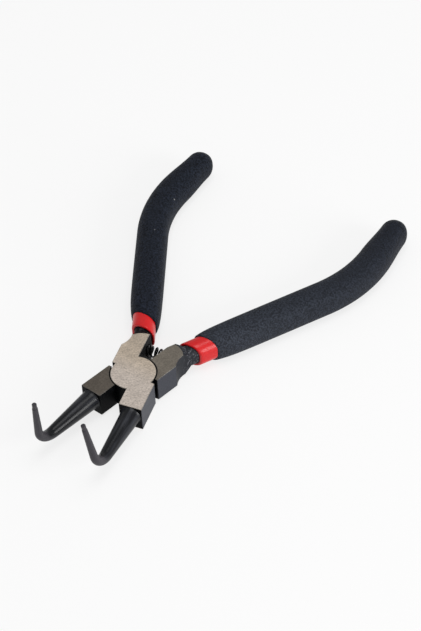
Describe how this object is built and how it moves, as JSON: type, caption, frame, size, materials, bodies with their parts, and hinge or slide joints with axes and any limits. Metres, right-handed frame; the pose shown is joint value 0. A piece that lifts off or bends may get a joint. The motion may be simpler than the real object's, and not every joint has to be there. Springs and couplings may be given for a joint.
{
  "type": "internal circlip pliers",
  "caption": "Internal circlip pliers with bent tapered tips, lap-jointed levers, a coil return spring and two-layer dipped grips; squeezing the handles closes the tips.",
  "frame": {"origin": "on the pivot axis, in the plane of the head's underside", "axes": "+Y towards the handles, +Z along the pivot, the way the bent tips point"},
  "size_m": [0.1026, 0.1689, 0.0296],
  "materials": {
    "upper_steel": "black forged steel with ground bright faces",
    "lower_steel": "black forged steel with ground faces",
    "rivet_steel": "ground flush",
    "spring_steel": "black spring wire",
    "inner_dip": "glossy red dip",
    "outer_dip": "matt black textured dip"
  },
  "bodies": {
    "lower": {"lower_lever": "lower_steel", "right_inner_sleeve": "inner_dip", "right_outer_grip": "outer_dip", "return_spring": "spring_steel"},
    "upper": {"upper_lever": "upper_steel", "pivot_rivet": "rivet_steel", "left_inner_sleeve": "inner_dip", "left_outer_grip": "outer_dip"}
  },
  "joints": [
    {"name": "pivot", "type": "hinge", "parent": "lower", "child": "upper", "pos_m": [0, 0, 0.005], "axis": [0, 0, -1], "range_deg": [-9, 22.5], "stiffness_Nm_per_rad": 0.5, "deforming": ["return_spring"]}
  ]
}
